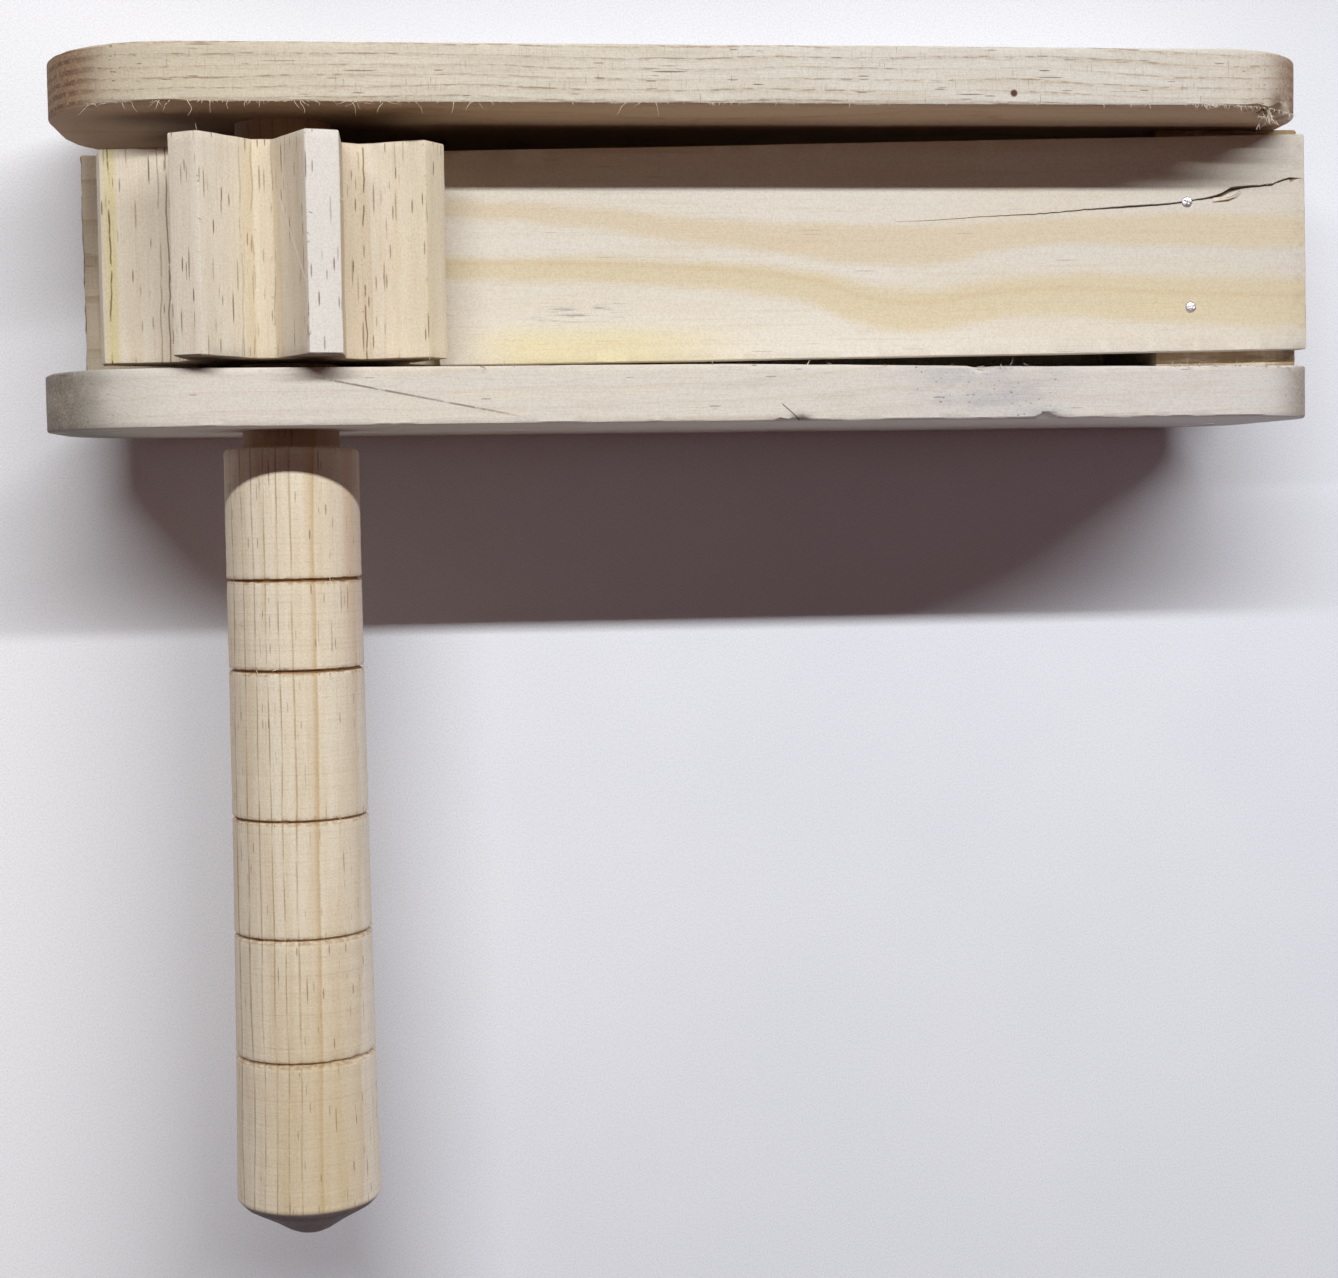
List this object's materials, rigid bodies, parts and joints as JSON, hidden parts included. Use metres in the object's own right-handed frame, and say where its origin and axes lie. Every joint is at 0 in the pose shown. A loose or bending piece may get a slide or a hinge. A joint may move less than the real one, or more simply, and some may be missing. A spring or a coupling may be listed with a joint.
{
  "type": "ratchet rattle",
  "caption": "Wooden ratchet rattle: two side boards swing on a handle's axle, and a springy leaf nailed to an end block clicks over the teeth of a cog.",
  "frame": {"origin": "on the plane that the back of the boards and the back slat lie on, straight under the axle and midway between the two side boards", "axes": "+X along the boards from the axle towards the end block, +Y along the axle away from the handle, +Z from the resting plane towards the leaf"},
  "size_m": [0.2439, 0.224, 0.0741],
  "materials": {
    "board_pine": "bare, planed, unfinished",
    "sawn_pine": "bare, rough sawn",
    "leaf_pine": "bare, planed, yellow bands along the grain",
    "cog_pine": "bare, sawn teeth",
    "handle_pine": "bare, turned",
    "nail_steel": "bright"
  },
  "bodies": {
    "frame": {"upper_board": "board_pine", "lower_board": "board_pine", "back_slat": "sawn_pine", "end_block": "sawn_pine", "leaf_nail_upper": "nail_steel", "leaf_nail_lower": "nail_steel", "upper_block_nail_front": "nail_steel", "upper_block_nail_rear": "nail_steel", "upper_slat_nail_left": "nail_steel", "upper_slat_nail_right": "nail_steel", "lower_block_nail_front": "nail_steel", "lower_block_nail_rear": "nail_steel", "lower_slat_nail_left": "nail_steel", "lower_slat_nail_right": "nail_steel", "rear_nail_upper": "nail_steel", "rear_nail_lower": "nail_steel"},
    "rotor": {"cog": "cog_pine", "handle": "handle_pine", "cog_nail": "nail_steel"},
    "leaf": {"leaf": "leaf_pine"}
  },
  "joints": [
    {"name": "cog_spin", "type": "hinge", "parent": "frame", "child": "rotor", "pos_m": [0, 0, 0.04], "axis": [0, 1, 0], "continuous": true, "deforming": ["leaf"]},
    {"name": "leaf_flex", "type": "hinge", "parent": "frame", "child": "leaf", "pos_m": [0.1694, 0, 0.042], "axis": [0, 1, 0], "range_deg": [0, 3.5], "stiffness_Nm_per_rad": 8, "deforming": ["leaf"]}
  ]
}
